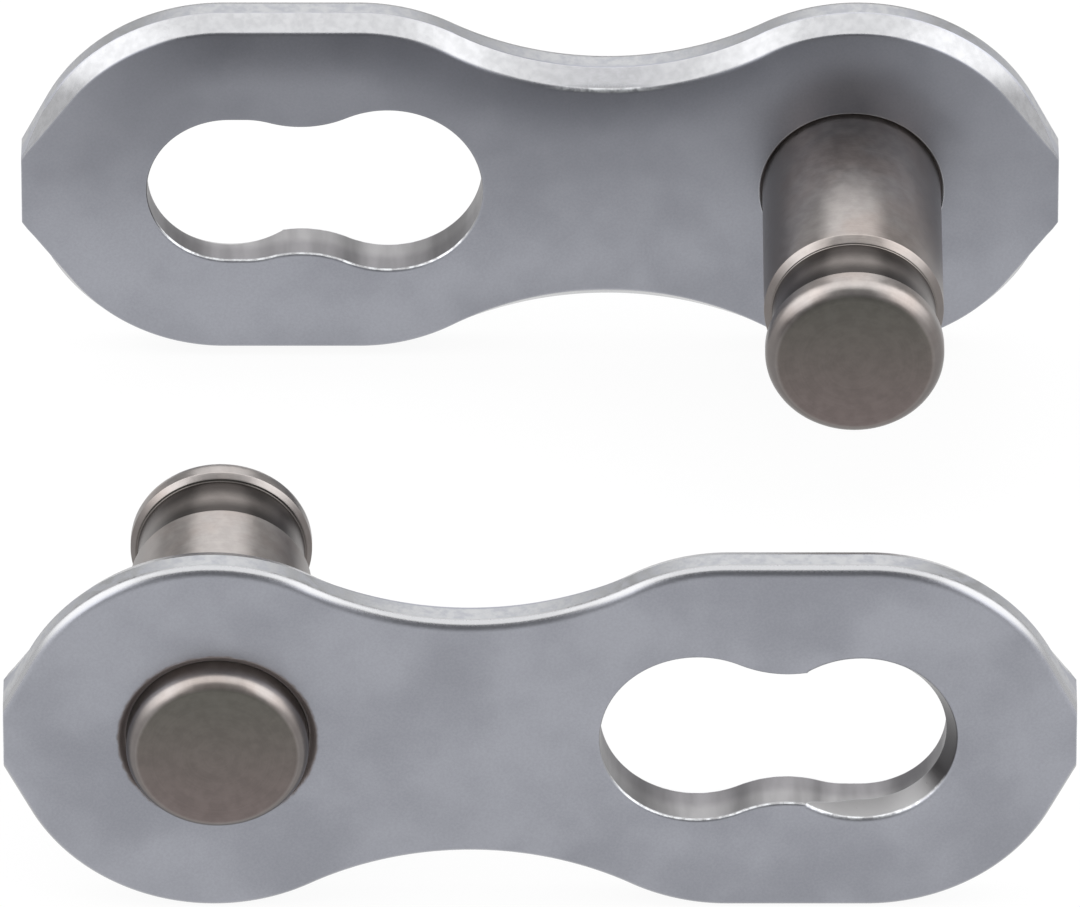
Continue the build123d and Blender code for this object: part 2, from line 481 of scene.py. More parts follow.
def plate_zones(tree, settings):
    """Where each kind of surface lies on a plate, from its place and the way it faces."""
    place = xyz(tree, object_place(tree))
    facing = xyz(tree, surface_normal(tree))
    turn = absolute(tree, facing[1])
    depth = less(tree, absolute(tree, place[1]), INNER_FACE)
    along = absolute(tree, place[0])
    up = less(tree, place[2], PIN_Z)

    outside = math_node(
        tree, "MAXIMUM",
        ramp(tree, absolute(tree, up), *(settings.waist_half - margin for margin in UNDER_WAIST)),
        ramp(tree, along, *PAST_OPENINGS),
    )
    within = rest_of(tree, outside)
    past_bevel = ramp(tree, depth, settings.bevel_depth - 0.02 * MM, settings.bevel_depth + 0.03 * MM)
    edge_on = falling(tree, turn, *WALL_ENDS)
    slanting = product(tree, ramp(tree, turn, *SLANT_STARTS), falling(tree, turn, *SLANT_ENDS))
    roll_starts = PLATE_THICKNESS - settings.rim_radius
    outer_lip = PLATE_THICKNESS - settings.slot_rim
    lips = math_node(
        tree, "MAXIMUM",
        falling(tree, depth, settings.slot_rim - 0.03 * MM, settings.slot_rim),
        ramp(tree, depth, outer_lip, outer_lip + 0.03 * MM),
    )
    rounded = product(tree, ramp(tree, turn, *LIP_STARTS), falling(tree, turn, *LIP_ENDS))
    return {
        "place": place, "facing": facing, "depth": depth, "along": along, "up": up,
        "wall": product(tree, edge_on, past_bevel, outside),
        "bevel": product(tree, slanting, outside, rest_of(tree, past_bevel)),
        "roll": product(
            tree, ramp(tree, depth, roll_starts, roll_starts + 0.02 * MM),
            falling(tree, turn, *ROLL_ENDS), outside,
        ),
        "bore": product(tree, edge_on, within),
        "flare": product(tree, slanting, within),
        "rounded": rounded,
        "lips": product(tree, lips, rounded, within),
    }


def face_tone(tree, settings, noise, zones):
    """Satin steel with duller clouds and grain. Painted shade darkens the upper part of the inner face."""
    clouds = ramp(tree, noise["Cloud"], 0.38, 0.66, 0.0, 0.75)
    tone = blend_colour(tree, clouds, settings.steel, settings.shade)
    tone = shaded(tree, tone, varied(tree, noise["Grain"], 0.95, 1.05))
    # Painted shade: the upper part of the inner face is darkened towards its top
    shaded_top = product(
        tree, ramp(tree, zones["up"], *TOP_SHADE_HEIGHT, 0.0, 0.42), falling(tree, zones["depth"], *TOP_SHADE_DEPTH)
    )
    return blend_colour(tree, shaded_top, tone, settings.upper_shade)


def bore_tone(tree, settings, noise, zones):
    """Walls of the slot and the hole, torn near the inner face, with punch marks and painted shade at the
    ends.
    """
    stretched = add(
        tree, "ShaderNodeMapping", {"Vector": object_place(tree), "Scale": (1.0, 0.15, 1.0)}
    ).outputs[0]
    marks = noise_value(tree, stretched, 1 / settings.tear_size, 2.0)
    ragged = weighed(tree, zones["depth"], (0.16 * MM, noise["Mottle"]))
    smooth = ramp(tree, ragged, *TORN_DEPTH)
    # Painted shade on the walls that face along the slot, towards its ends
    endwise = ramp(tree, absolute(tree, zones["facing"][0]), 0.25, 0.85, 0.0, 0.42)
    tone = layered(tree, settings.torn, (smooth, settings.bore), (endwise, settings.slot_end_shade))
    return shaded(tree, tone, varied(tree, marks, 0.88, 1.13))


def flare_tone(tree, settings, zones):
    """Flare round the seat, with painted shade at its upper end."""
    # Painted shade at the flare's upper end, far along the slot
    flare_top_shade = product(
        tree, ramp(tree, zones["along"], *END_SHADE_LENGTH), ramp(tree, zones["up"], *END_SHADE_HEIGHT)
    )
    return blend_colour(tree, flare_top_shade, settings.flare, settings.slot_end_shade)


def grime_mask(tree, settings, noise, zones):
    """Oily dirt round the plate's own pin, which lies at +X behind and at -X in front."""
    side = math_node(tree, "SIGN", zones["place"][1])
    across = less(tree, zones["place"][0], product(tree, side, PIN_X))
    outer_side = ramp(tree, zones["depth"], *OUTER_DEPTH)
    ragged = weighed(tree, 0.06 * MM, (0.10 * MM, noise["Mottle"]))
    radius = less(tree, from_axis(tree, across, zones["up"]), product(tree, outer_side, ragged))
    return ramp(tree, radius, settings.grime_reach - 0.07 * MM, settings.grime_reach, 0.88, 0.0)


def plate_material(settings):
    """Satin tumbled steel, a mottled wall where the press tool cut, rubbed edges, painted shade and painted
    highlights.
    """
    made, tree, output = new_material("link_plate_steel")
    noise = grain_of(tree, settings)
    zones = plate_zones(tree, settings)
    torn = ramp(tree, noise["Mottle"], 0.36, 0.68)
    cut = blend_colour(tree, product(tree, torn, 0.6), settings.sheared, settings.steel)
    pressed = shaded(tree, settings.coined, varied(tree, noise["Mottle"], 0.93, 1.07))
    # Painted highlight: the bright colour on the lips of the slot that face up
    lip_highlight = product(
        tree, zones["lips"], ramp(tree, noise["Mottle"], 0.36, 0.62, 0.12, 0.85),
        ramp(tree, zones["facing"][2], 0.30, 0.62),
    )
    grimy = grime_mask(tree, settings, noise, zones)
    tone = layered(
        tree, face_tone(tree, settings, noise, zones),
        (zones["wall"], cut),
        (zones["bevel"], pressed),
        (zones["roll"], settings.rolled),
        (zones["bore"], bore_tone(tree, settings, noise, zones)),
        (zones["flare"], flare_tone(tree, settings, zones)),
        (lip_highlight, settings.worn_and_highlight),
        (worn_edges(tree, settings, break_up=0.45, gain=3.0), settings.worn_and_highlight),
        (grimy, settings.grime),
    )
    roughness = weighed(
        tree, settings.roughness - 0.06,
        (0.12, noise["Grain"]), (0.14, product(tree, zones["wall"], torn)), (0.25, grimy),
        (0.04, zones["bore"]), (-0.09, zones["bevel"]), (-0.12, zones["rounded"]), (-0.08, zones["roll"]),
    )
    height = weighed(tree, 0.0, (0.35, noise["Grain"]), (0.8, product(tree, zones["wall"], noise["Mottle"])))
    steel_shader(
        tree, output, tone, rest_of(tree, grimy), roughness, height,
        bump_strength=0.4, bump_height=0.006 * MM,
    )
    return made


# ---- Finish of the pins ----

# How far the painted shade reaches into the groove from both ends
GROOVE_SHADE_REACH = (0.20 * MM, 0.62 * MM)
# How far a surface turns towards the pin's axis before it is an end face
END_FACES = (0.86, 0.98)
# Heights between which the painted shade on the sides of the pin thins out
SIDE_SHADE_HEIGHT = (PIN_Z + 0.34 * BODY_RADIUS, PIN_Z + 0.90 * BODY_RADIUS)


def pin_material(settings):
    """Hardened turned steel, warm grey with temper patches and turning marks, rims rubbed bright, and
    painted shade and light.
    """
    made, tree, output = new_material("link_pin_steel")
    noise = grain_of(tree, settings)
    marks = shared_group(
        tree, "link_turning_marks", build_turning_marks, {"Pitch": settings.turning_pitch}
    )["Marks"]
    place = xyz(tree, object_place(tree))
    along = absolute(tree, place[1])

    groove_end = INNER_FACE - PIN_REACH + settings.head_length
    groove_start = groove_end + settings.groove_length
    in_groove = product(
        tree, ramp(tree, along, groove_end - 0.02 * MM, groove_end + 0.02 * MM),
        falling(tree, along, groove_start - 0.03 * MM, groove_start),
    )
    from_end = math_node(tree, "MINIMUM", less(tree, along, groove_end), less(tree, groove_start, along))
    # Painted shade at both ends of the groove
    end_shaded = falling(tree, from_end, *GROOVE_SHADE_REACH)
    groove = blend_colour(tree, end_shaded, settings.groove_tone, settings.groove_end_shade)
    chamfer_end = groove_start + settings.chamfer
    # Painted highlight: a faint bright band on the shoulder chamfer
    on_chamfer = product(
        tree, ramp(tree, along, groove_start - 0.01 * MM, groove_start + 0.01 * MM),
        falling(tree, along, chamfer_end - 0.01 * MM, chamfer_end + 0.02 * MM), 0.12,
    )

    # The end faces are painted lighter and pinker towards the bottom, a painted reflection
    low = falling(tree, place[2], PIN_Z - BODY_RADIUS, PIN_Z + BODY_RADIUS)
    end_tone = blend_colour(tree, low, settings.dull, settings.dull_low)
    end_on = ramp(tree, absolute(tree, xyz(tree, surface_normal(tree))[1]), *END_FACES)
    # Painted shade on the sides and underside of the pin, set by height
    side_shade = ramp(tree, place[2], *SIDE_SHADE_HEIGHT, 0.74, 0.0)
    tone = layered(
        tree, settings.steel,
        (ramp(tree, noise["Cloud"], 0.4, 0.65, 0.0, 0.7), settings.tint),
        (in_groove, groove),
        (on_chamfer, settings.worn_and_highlight),
        (end_on, end_tone),
    )
    mottled = varied(tree, noise["Mottle"], -0.07, 0.08)
    speck = math_node(tree, "ADD", varied(tree, marks, 0.97, 1.02), mottled)
    tone = layered(
        tree, shaded(tree, tone, speck),
        (worn_edges(tree, settings, break_up=0.5, gain=3.5), settings.worn_and_highlight),
        (product(tree, side_shade, rest_of(tree, end_on)), settings.sides),
    )
    roughness = weighed(tree, settings.roughness - 0.05, (0.12, noise["Mottle"]), (0.08, end_on))
    height = weighed(tree, 0.0, (weighed(tree, 0.8, (-0.65, end_on)), marks), (0.5, noise["Grain"]))
    steel_shader(
        tree, output, tone, 1.0, roughness, height,
        bump_strength=0.35, bump_height=0.004 * MM,
    )
    return made


# ---- Stamped plates ----
#
# A plate is drawn on its own inner face: u runs towards its pin, v runs up, and depth runs from the
# inner face to the outer one. Edges are drawn for the upper half and mirrored.

# Places closer than this are one
TOGETHER = 0.0002 * MM
# Hairline between the upset end and the dirt packed round it
RIVET_GAP = 0.01 * MM


def arc(centre, radius, start, sweep, steps, outward=1):
    """Places on an arc, each with its normal."""
    made = []
    for step in range(steps + 1):
        angle = start + sweep * step / steps
        way = Vector((math.cos(angle), math.sin(angle)))
        made.append((Vector(centre) + way * radius, way * outward))
    return made


def straight(start, end, normal, steps):
    """Places on a straight edge, each with its normal."""
    return [(start.lerp(end, step / steps), normal) for step in range(steps + 1)]


def joined(*runs):
    """Runs that follow each other, as one. Where two meet, the place is kept once."""
    made = list(runs[0])
    for run in runs[1:]:
        made += run[1:]
    return made


def plate_edge(settings, ends, waist, tab):
    """Upper edge of the plate, from the corner of one tab over the waist to the corner of the other."""
    end_u = PIN_X + settings.end_offset
    shoulder = settings.shoulder_run - end_u
    middle = (shoulder + end_u) / 2
    half_run = end_u - middle
    bend = (half_run**2 + waist**2 - ends**2) / (2 * (ends - waist))
    turn = math.atan2(waist + bend, half_run)
    root = math.atan2(settings.tab_half, tab) + math.acos(ends / math.hypot(tab, settings.tab_half))
    slot_end = arc((-end_u, 0), ends, math.pi - root, root - math.pi / 2, 40)
    pin_end = arc((end_u, 0), ends, math.pi - turn, root + turn - math.pi, 56)
    return joined(
        straight(Vector((-end_u - tab, settings.tab_half)), *slot_end[0], 8),
        slot_end,
        straight(Vector((-end_u, ends)), Vector((shoulder, ends)), Vector((0, 1)), 1),
        arc((shoulder, 0), ends, math.pi / 2, turn - math.pi / 2, 24),
        arc((middle, waist + bend), bend, turn + math.pi, math.pi - 2 * turn, 48, -1),
        pin_end,
        straight(pin_end[-1][0], Vector((end_u + tab, settings.tab_half)), pin_end[-1][1], 8),
    )


class Shell:
    """Faces of one plate, with the normal at every corner."""

    def __init__(self, side):
        self.side = side
        self.places = {}
        self.faces = []
        self.normals = []

    def face(self, corners):
        """A face through corners, each a place (u, v, depth) and a normal along the same three."""
        indices = []
        normals = []
        for place, normal in corners:
            where = Vector((self.side * place[0], self.side * (INNER_FACE + place[2]), PIN_Z + place[1]))
            key = tuple(round(value / TOGETHER) for value in where)
            index, _ = self.places.setdefault(key, (len(self.places), where))
            if index not in indices:
                turned = Vector((self.side * normal[0], self.side * normal[2], normal[1]))
                indices.append(index)
                normals.append(turned.normalized())
        if len(indices) > 2:
            self.faces.append(indices)
            self.normals.append(normals)

    def skin(self, rows):
        """Faces between each row of corners and the next."""
        for first, second in zip(rows, rows[1:]):
            for corners in zip(first, first[1:], second[1:], second):
                self.face(corners)

    def skin_both(self, rows):
        """The same above the middle line, where the rows are, and mirrored below it."""
        self.skin(rows)
        self.skin([mirrored(row) for row in rows])

    def flat(self, loops, depth, way):
        """A flat face at one depth, with holes in it."""
        drawn = [[Vector((*place, 0)) for place in loop] for loop in loops]
        places = [place for loop in drawn for place in loop]
        for three in tessellate_polygon(drawn):
            self.face([((*places[index].xy, depth), (0, 0, way)) for index in three])

    def mesh(self, name):
        """The shell as a mesh, every face turned outwards."""
        points = [where for _, where in self.places.values()]
        loops = []
        for index, (face, normals) in enumerate(zip(self.faces, self.normals)):
            turn = Vector((0, 0, 0))
            for first, second in zip(face, face[1:] + face[:1]):
                turn += points[first].cross(points[second])
            if turn.dot(sum(normals, Vector((0, 0, 0)))) < 0:
                self.faces[index] = face[::-1]
                normals = normals[::-1]
            loops += normals
        made = bpy.data.meshes.new(name)
        made.from_pydata(points, [], self.faces)
        made.shade_smooth()
        made.normals_split_custom_set(loops)
        return made


def level(row, depths):
    """A row of flat places, each at its depth or all at one."""
    if isinstance(depths, float):
        depths = [depths] * len(row)
    return [(*place, depth) for place, depth in zip(row, depths)]


def raised(row, depths, normals):
    """Corners over a row of flat places, with a depth and a normal for each."""
    return list(zip(level(row, depths), normals))


def mirrored(row):
    """The same corners below the middle line."""
    return [((u, -v, depth), (nu, -nv, nd)) for (u, v, depth), (nu, nv, nd) in row]


def closed(row):
    """An upper row of corners, its mirror and its first corner again, all the way round."""
    return row + mirrored(row)[::-1] + row[:1]


def rolled(shell, foot, sharp, lip, normals, ends):
    """Rolls over the edge between a wall and a face. The sharp edge lies between foot and lip.

    The normals are those at the foot, and the ends are those at the lip.
    """
    steps = 5
    rows = []
    for step in range(steps + 1):
        along = step / steps
        row = []
        for low, corner, high, normal, end in zip(foot, sharp, lip, normals, ends):
            low, corner, high = Vector(low), Vector(corner), Vector(high)
            place = low.lerp(corner, along).lerp(corner.lerp(high, along), along)
            row.append((place, Vector(normal).normalized().lerp(Vector(end).normalized(), along)))
        rows.append(row)
    shell.skin_both(rows)


def ring_of(row):
    """Upper row and its mirror as one closed loop of flat places."""
    upper = [place[:2] for place, _ in row]
    loop = []
    for place in upper + [(u, -v) for u, v in reversed(upper)]:
        if not loop or math.dist(place, loop[-1]) > 2 * TOGETHER:
            loop.append(place)
    if math.dist(loop[0], loop[-1]) < 2 * TOGETHER:
        loop.pop()
    return loop


def stamp_rim(shell, settings):
    """Outside of the plate: coined bevel, cut wall, rolled rim and the flats of the tabs."""
    deep = PLATE_THICKNESS
    tab = TAB_FLAT - PIN_X - settings.end_offset
    end_spread = settings.bevel_end * (deep / settings.bevel_depth - 1)
    waist_spread = settings.bevel_waist * (deep / settings.bevel_waist_depth - 1)
    edge = plate_edge(settings, END_RADIUS, settings.waist_half, tab)
    narrow = plate_edge(
        settings, END_RADIUS - settings.bevel_end, settings.waist_half - settings.bevel_waist,
        tab + settings.bevel_margin,
    )
    wide = plate_edge(
        settings, END_RADIUS + end_spread, settings.waist_half + waist_spread, tab + end_spread
    )
    places = [place for place, _ in edge]
    outs = [(*normal, 0.0) for _, normal in edge]

    # The bevel leans out from the narrow outline to the wide one. It is rolled over where it starts
    sharp, feet, lip, depths, slopes = [], [], [], [], []
    for (place, normal), (inner, _), (outer, _) in zip(edge, narrow, wide):
        lean = (outer - inner).dot(normal)
        depth = max(0.0, (place - inner).dot(normal) / lean) * deep
        inner = inner if depth else place
        width = (place - inner).length
        roll = min(settings.edge_roll, 0.3 * width)
        sharp.append((*inner, 0.0))
        feet.append(Vector((*inner, 0)).lerp(Vector((*place, depth)), roll / max(width, roll, TOGETHER)))
        lip.append(inner - normal * roll)
        depths.append(depth)
        slopes.append((*normal, -lean / deep))

    # The inner face falls away towards its edge. The fall is too shallow to model, so its normals show it
    steps = 8
    falls = []
    for step in range(steps + 1):
        inset = settings.fall_width * step / steps
        lean = math.tan(settings.fall_lean) * (1 - step / steps)
        row = [place - normal * inset for place, (_, normal) in zip(lip, edge)]
        falls.append(raised(row, 0.0, [(*(normal * lean), -1.0) for _, normal in edge]))
    shell.skin([closed(row) for row in falls])
    rolled(shell, feet, sharp, level(lip, 0.0), slopes, [normal for _, normal in falls[0]])
    shell.skin_both([list(zip(feet, slopes)), raised(places, depths, slopes)])

    steps = 10
    wall = [raised(places, depths, outs)]
    for step in range(steps + 1):
        angle = math.pi / 2 * step / steps
        inset = settings.rim_radius * (1 - math.cos(angle))
        row = [place - normal * inset for place, normal in edge]
        for corner in (0, -1):
            place, normal = edge[corner]
            row[corner] = Vector((place.x, place.y - inset / normal.y))
        normals = [(*(normal * math.cos(angle)), math.sin(angle)) for _, normal in edge]
        wall.append(raised(row, deep - settings.rim_radius * (1 - math.sin(angle)), normals))
    shell.skin_both(wall)
    for corner, way in ((0, -1), (-1, 1)):
        column = [(row[corner][0], (way, 0, 0)) for row in wall]
        shell.face(column + mirrored(column)[::-1])
    return ring_of(falls[-1]), ring_of(wall[-1])


def stamp_slot(shell, settings, pin):
    """Keyhole slot: seat with its flare, neck, entry and rolled rims."""
    deep = PLATE_THICKNESS
    rim = settings.slot_rim
    groove = BODY_RADIUS - pin.groove_relief
    head = BODY_RADIUS - pin.head_relief
    seat = groove + settings.seat_clearance
    entry = head + settings.entry_clearance
    neck = settings.neck_radius
    seat_u = settings.seat_clearance - PIN_X
    end_u = seat_u + settings.seat_run
    hump_v = groove - settings.snap_bite + neck
    hump_u = end_u + math.sqrt((seat + neck) ** 2 - hump_v**2)
    entry_u = hump_u + math.sqrt((entry + neck) ** 2 - hump_v**2)
    to_seat = math.atan2(-hump_v, end_u - hump_u)
    to_entry = math.atan2(-hump_v, entry_u - hump_u)

    # The flare is a cone about the seat. It ends on each hump, where its rim meets the slot's rim
    slope = settings.flare_slope
    centre = Vector((seat_u, 0))
    flare = head + settings.flare_clearance
    flare_foot = flare - rim * math.sin(slope)
    foot_depth = deep - rim * math.cos(slope)

    def on_hump(radius, angle):
        """A place on a circle about the hump."""
        return Vector((hump_u + radius * math.cos(angle), hump_v + radius * math.sin(angle)))

    def angle_at(radius, reach):
        """Angle at which that circle is so far from the seat."""
        low, high = to_seat, to_entry
        for _ in range(40):
            angle = (low + high) / 2
            nearer = (on_hump(radius, angle) - centre).length < reach
            low, high = (angle, high) if nearer else (low, angle)
        return angle

    split = angle_at(neck, flare_foot)
    meeting = on_hump(neck - rim, angle_at(neck - rim, flare + rim))
    seat_side = joined(
        arc((seat_u, 0), seat, math.pi, -math.pi / 2, 36, -1),
        straight(Vector((seat_u, seat)), Vector((end_u, seat)), Vector((0, -1)), 3),
        arc((end_u, 0), seat, math.pi / 2, to_seat + math.pi / 2, 8, -1),
        arc((hump_u, hump_v), neck, to_seat, split - to_seat, 6),
    )
    entry_side = joined(
        arc((hump_u, hump_v), neck, split, to_entry - split, 16),
        arc((entry_u, 0), entry, to_entry + math.pi, -to_entry - math.pi, 48, -1),
    )
    inner_rows = []
    outer_rows = []
    for edge, flared in ((seat_side, True), (entry_side, False)):
        places = [place for place, _ in edge]
        voids = [(*normal, 0.0) for _, normal in edge]
        count = len(edge)
        face_row = [place - normal * rim for place, normal in edge]
        if flared:
            ways = [(place - centre).normalized() for place in places]
            tops = [deep - (flare - (place - centre).length) / math.tan(slope) for place in places]
            slopes = [(*(-way * math.cos(slope)), math.sin(slope)) for way in ways]
            foot = level([centre + way * flare_foot for way in ways], foot_depth)
            sharp = [centre + way * flare for way in ways[:-1]] + [places[-1]]
            lip = [centre + way * (flare + rim) for way in ways[:-1]] + [meeting]
            lip = [meeting if place.x > meeting.x else place for place in lip]
            shell.skin_both([raised(places, tops, slopes), list(zip(foot, slopes))])
        else:
            tops = [foot_depth] + [deep - rim] * (count - 1)
            slopes = voids
            foot = level(places, tops)
            sharp = places
            lip = [meeting if place.x < meeting.x else place for place in face_row]
        outer = level(sharp, deep), level(lip, deep)
        inner = level(places, 0.0), level(face_row, 0.0)
        rolled(shell, foot, *outer, slopes, [(0, 0, 1)] * count)
        rolled(shell, level(places, rim), *inner, voids, [(0, 0, -1)] * count)
        shell.skin_both([raised(places, rim, voids), raised(places, tops, voids)])
        inner_rows += raised(face_row, 0.0, voids)
        outer_rows += raised(lip, deep, voids)
    return ring_of(inner_rows), ring_of(outer_rows)


def drill_hole(shell, settings, pin):
    """Hole for the shank, stepped on both faces for the body and the upset end of the pin."""
    shank = BODY_RADIUS - pin.shank_relief
    body_seat = BODY_RADIUS + settings.body_ring
    sunk = pin.body_sunk
    rivet = BODY_RADIUS - pin.rivet_relief + RIVET_GAP
    rivet_seat = PLATE_THICKNESS - pin.rivet_sunk
    fill = settings.ring_fill
    inwards, up, down = (-1, 0), (0, 1), (0, -1)
    profile = [
        (body_seat, 0.0, inwards), (body_seat, sunk, inwards),
        (body_seat, sunk, down), (shank, sunk, down),
        (shank, sunk, inwards), (shank, rivet_seat, inwards),
        (shank, rivet_seat, up), (rivet, rivet_seat, up),
        (rivet, rivet_seat, inwards), (rivet, PLATE_THICKNESS - fill, inwards),
    ]
    # Above the dirt the ring is a shallow dish, steepest in the middle
    steps = 8
    for step in range(steps + 1):
        across = step / steps
        rise = across**2 * (3 - 2 * across)
        lean = 6 * across * (1 - across) * fill / settings.rivet_ring
        radius = rivet + across * settings.rivet_ring
        profile.append((radius, PLATE_THICKNESS - fill * (1 - rise), (-lean, 1)))

    steps = 96
    angles = [math.tau * step / steps for step in range(steps + 1)]
    ways = [(math.cos(angle), math.sin(angle)) for angle in angles]
    rows = [
        [((PIN_X + radius * x, radius * y, depth), (out * x, out * y, along)) for x, y in ways]
        for radius, depth, (out, along) in profile
    ]
    shell.skin(rows)
    return [[place[:2] for place, _ in row[:-1]] for row in (rows[0], rows[-1])]


def stamped_plate(name, side, settings, pin):
    """One plate as a plain mesh."""
    shell = Shell(side)
    loops = stamp_rim(shell, settings), stamp_slot(shell, settings, pin), drill_hole(shell, settings, pin)
    shell.flat([inner for inner, _ in loops], 0.0, -1)
    shell.flat([outer for _, outer in loops], PLATE_THICKNESS, 1)
    return in_scene(name, shell.mesh(name))


# ---- Turned pins ----

def pin_profile(settings):
    """Corners of the pin as (radius, distance from the inner face towards the head, rounding)."""
    body = BODY_RADIUS
    groove = body - settings.groove_relief
    shank = body - settings.shank_relief
    rivet = body - settings.rivet_relief
    head = body - settings.head_relief
    tip = PIN_REACH
    head_back = tip - settings.head_length
    shoulder = head_back - settings.groove_length
    rivet_seat = settings.rivet_sunk - PLATE_THICKNESS
    rivet_edge = -RIVET_REACH + settings.rivet_crown
    rivet_face = rivet - settings.rivet_bevel_width
    corner = settings.corner
    crown = [
        (rivet_face * share_out, rivet_edge - settings.rivet_crown * (1 - share_out**2), 0.0)
        for share_out in (0.85, 0.7, 0.55, 0.4, 0.25, 0.12, 0.0)
    ]
    return [
        (0.0, tip, 0.0),
        (head * 0.4, tip, 0.0),
        (head, tip, settings.head_rim),
        (head, head_back + settings.back_chamfer, corner),
        (head - settings.back_chamfer, head_back, corner),
        (groove, head_back, corner),
        (groove, shoulder, corner),
        (body - settings.chamfer, shoulder, corner),
        (body, shoulder - settings.chamfer, corner),
        (body, -settings.body_sunk, corner),
        (shank, -settings.body_sunk, corner),
        (shank, rivet_seat, 0.0),
        (rivet, rivet_seat, corner),
        (rivet, rivet_edge + settings.rivet_bevel, settings.rivet_round),
        (rivet_face, rivet_edge, settings.rivet_round),
        *crown,
    ]


def turning_tree():
    """Turns a profile round an axis along Y: the curve's X is radius and its Y is distance along the pin."""
    tree = bpy.data.node_groups.new("link_turned_pin", "GeometryNodeTree")
    for label, kind in (
        ("Geometry", "Geometry"), ("Axis X", "Float"), ("Axis Z", "Float"), ("Inner Face", "Float"),
        ("Direction", "Float"), ("Steps", "Int"), ("Material", "Material"),
    ):
        tree.interface.new_socket(label, in_out="INPUT", socket_type=f"NodeSocket{kind}")
    tree.interface.new_socket("Geometry", in_out="OUTPUT", socket_type="NodeSocketGeometry")
    source = tree.nodes.new("NodeGroupInput").outputs
    rounded = add(
        tree, "GeometryNodeFilletCurve",
        {
            "Curve": source["Geometry"], "Count": 7, "Limit Radius": True,
            "Radius": add(tree, "GeometryNodeInputRadius").outputs[0],
        },
        mode="POLY",
    ).outputs[0]

    # Each row of the grid is one place on the profile, carried round the axis
    counted = add(tree, "GeometryNodeAttributeDomainSize", {0: rounded}, component="CURVE").outputs
    around = math_node(tree, "ADD", source["Steps"], 1)
    grid = add(
        tree, "GeometryNodeMeshGrid",
        {"Size X": 1.0, "Size Y": 1.0, "Vertices X": counted["Point Count"], "Vertices Y": around},
    ).outputs[0]
    index = add(tree, "GeometryNodeInputIndex").outputs[0]
    row = math_node(tree, "FLOOR", math_node(tree, "DIVIDE", math_node(tree, "ADD", index, 0.5), around))
    step = less(tree, index, product(tree, row, around))
    corner = add(
        tree, "GeometryNodeSampleIndex",
        {"Geometry": rounded, "Value": add(tree, "GeometryNodeInputPosition").outputs[0], "Index": row},
        data_type="FLOAT_VECTOR", domain="POINT",
    ).outputs[0]
    radius, reach, _ = xyz(tree, corner)
    angle = math_node(tree, "DIVIDE", product(tree, step, math.tau), source["Steps"])
    across = product(tree, radius, math_node(tree, "COSINE", angle))
    along = product(tree, reach, source["Direction"])
    up = product(tree, source["Direction"], product(tree, radius, math_node(tree, "SINE", angle)))
    spun = add(
        tree, "ShaderNodeCombineXYZ",
        {
            0: math_node(tree, "ADD", source["Axis X"], across),
            1: math_node(tree, "ADD", source["Inner Face"], along),
            2: math_node(tree, "ADD", source["Axis Z"], up),
        },
    ).outputs[0]

    made = add(tree, "GeometryNodeSetPosition", {"Geometry": grid, "Position": spun}).outputs[0]
    for kind, values in (
        ("MergeByDistance", {"Distance": 0.0005 * MM}),
        ("FlipFaces", {}),
        ("SetShadeSmooth", {}),
        ("RealizeInstances", {}),
        ("SetMaterial", {"Material": source["Material"]}),
    ):
        made = add(tree, f"GeometryNode{kind}", {0: made, **values}).outputs[0]
    tree.links.new(made, tree.nodes.new("NodeGroupOutput").inputs[0])
    return tree


def turned_pin(name, side, settings, tree, material):
    """One pin as a plain mesh, turned from its profile."""
    profile = bpy.data.curves.new(f"{name}_profile", "CURVE")
    profile.dimensions = "3D"
    spline = profile.splines.new("POLY")
    corners = pin_profile(settings)
    spline.points.add(len(corners) - 1)
    for point, (radius, reach, rounding) in zip(spline.points, corners):
        point.co = (radius, reach, 0.0, 1.0)
        point.radius = rounding
    drawn = in_scene(f"{name}_profile", profile)
    turning = drawn.modifiers.new("turning", "NODES")
    turning.node_group = tree
    sizes = {
        "Axis X": side * PIN_X, "Axis Z": PIN_Z, "Inner Face": side * INNER_FACE,
        "Direction": -float(side), "Steps": settings.steps, "Material": material,
    }
    for item in tree.interface.items_tree:
        if item.in_out == "INPUT" and item.name in sizes:
            turning[item.identifier] = sizes[item.name]
    graph = bpy.context.evaluated_depsgraph_get()
    mesh = bpy.data.meshes.new_from_object(drawn.evaluated_get(graph), depsgraph=graph)
    bpy.data.objects.remove(drawn)
    if not mesh.polygons:
        raise RuntimeError(f"the turning of {name} gave no faces")
    mesh.name = name
    made = in_scene(name, mesh)
    made.modifiers.new("flat faces stay flat", "WEIGHTED_NORMAL").keep_sharp = True
    return made


# ---- Stage ----

# How far a direction turns to the back, the top and the sides while each part of the room comes in
TO_BACK = (-0.55, 0.25)
TO_TOP = (0.55, 0.95)
TO_SIDES = (0.55, 0.85)
# The same for the panels, aside and up, and how far back they end
PANELS_ASIDE = (0.40, 0.60)
PANELS_UP = (-0.05, 0.35)
PANELS_END = (0.35, 0.60)

# In metres: how far back the overhead lamp hangs, where the other one stands, and the floor's reach
OVERHEAD_BACK = 0.05
REAR_PLACE = (0.0, 1.10, 0.80)
FLOOR_REACH = 4.0


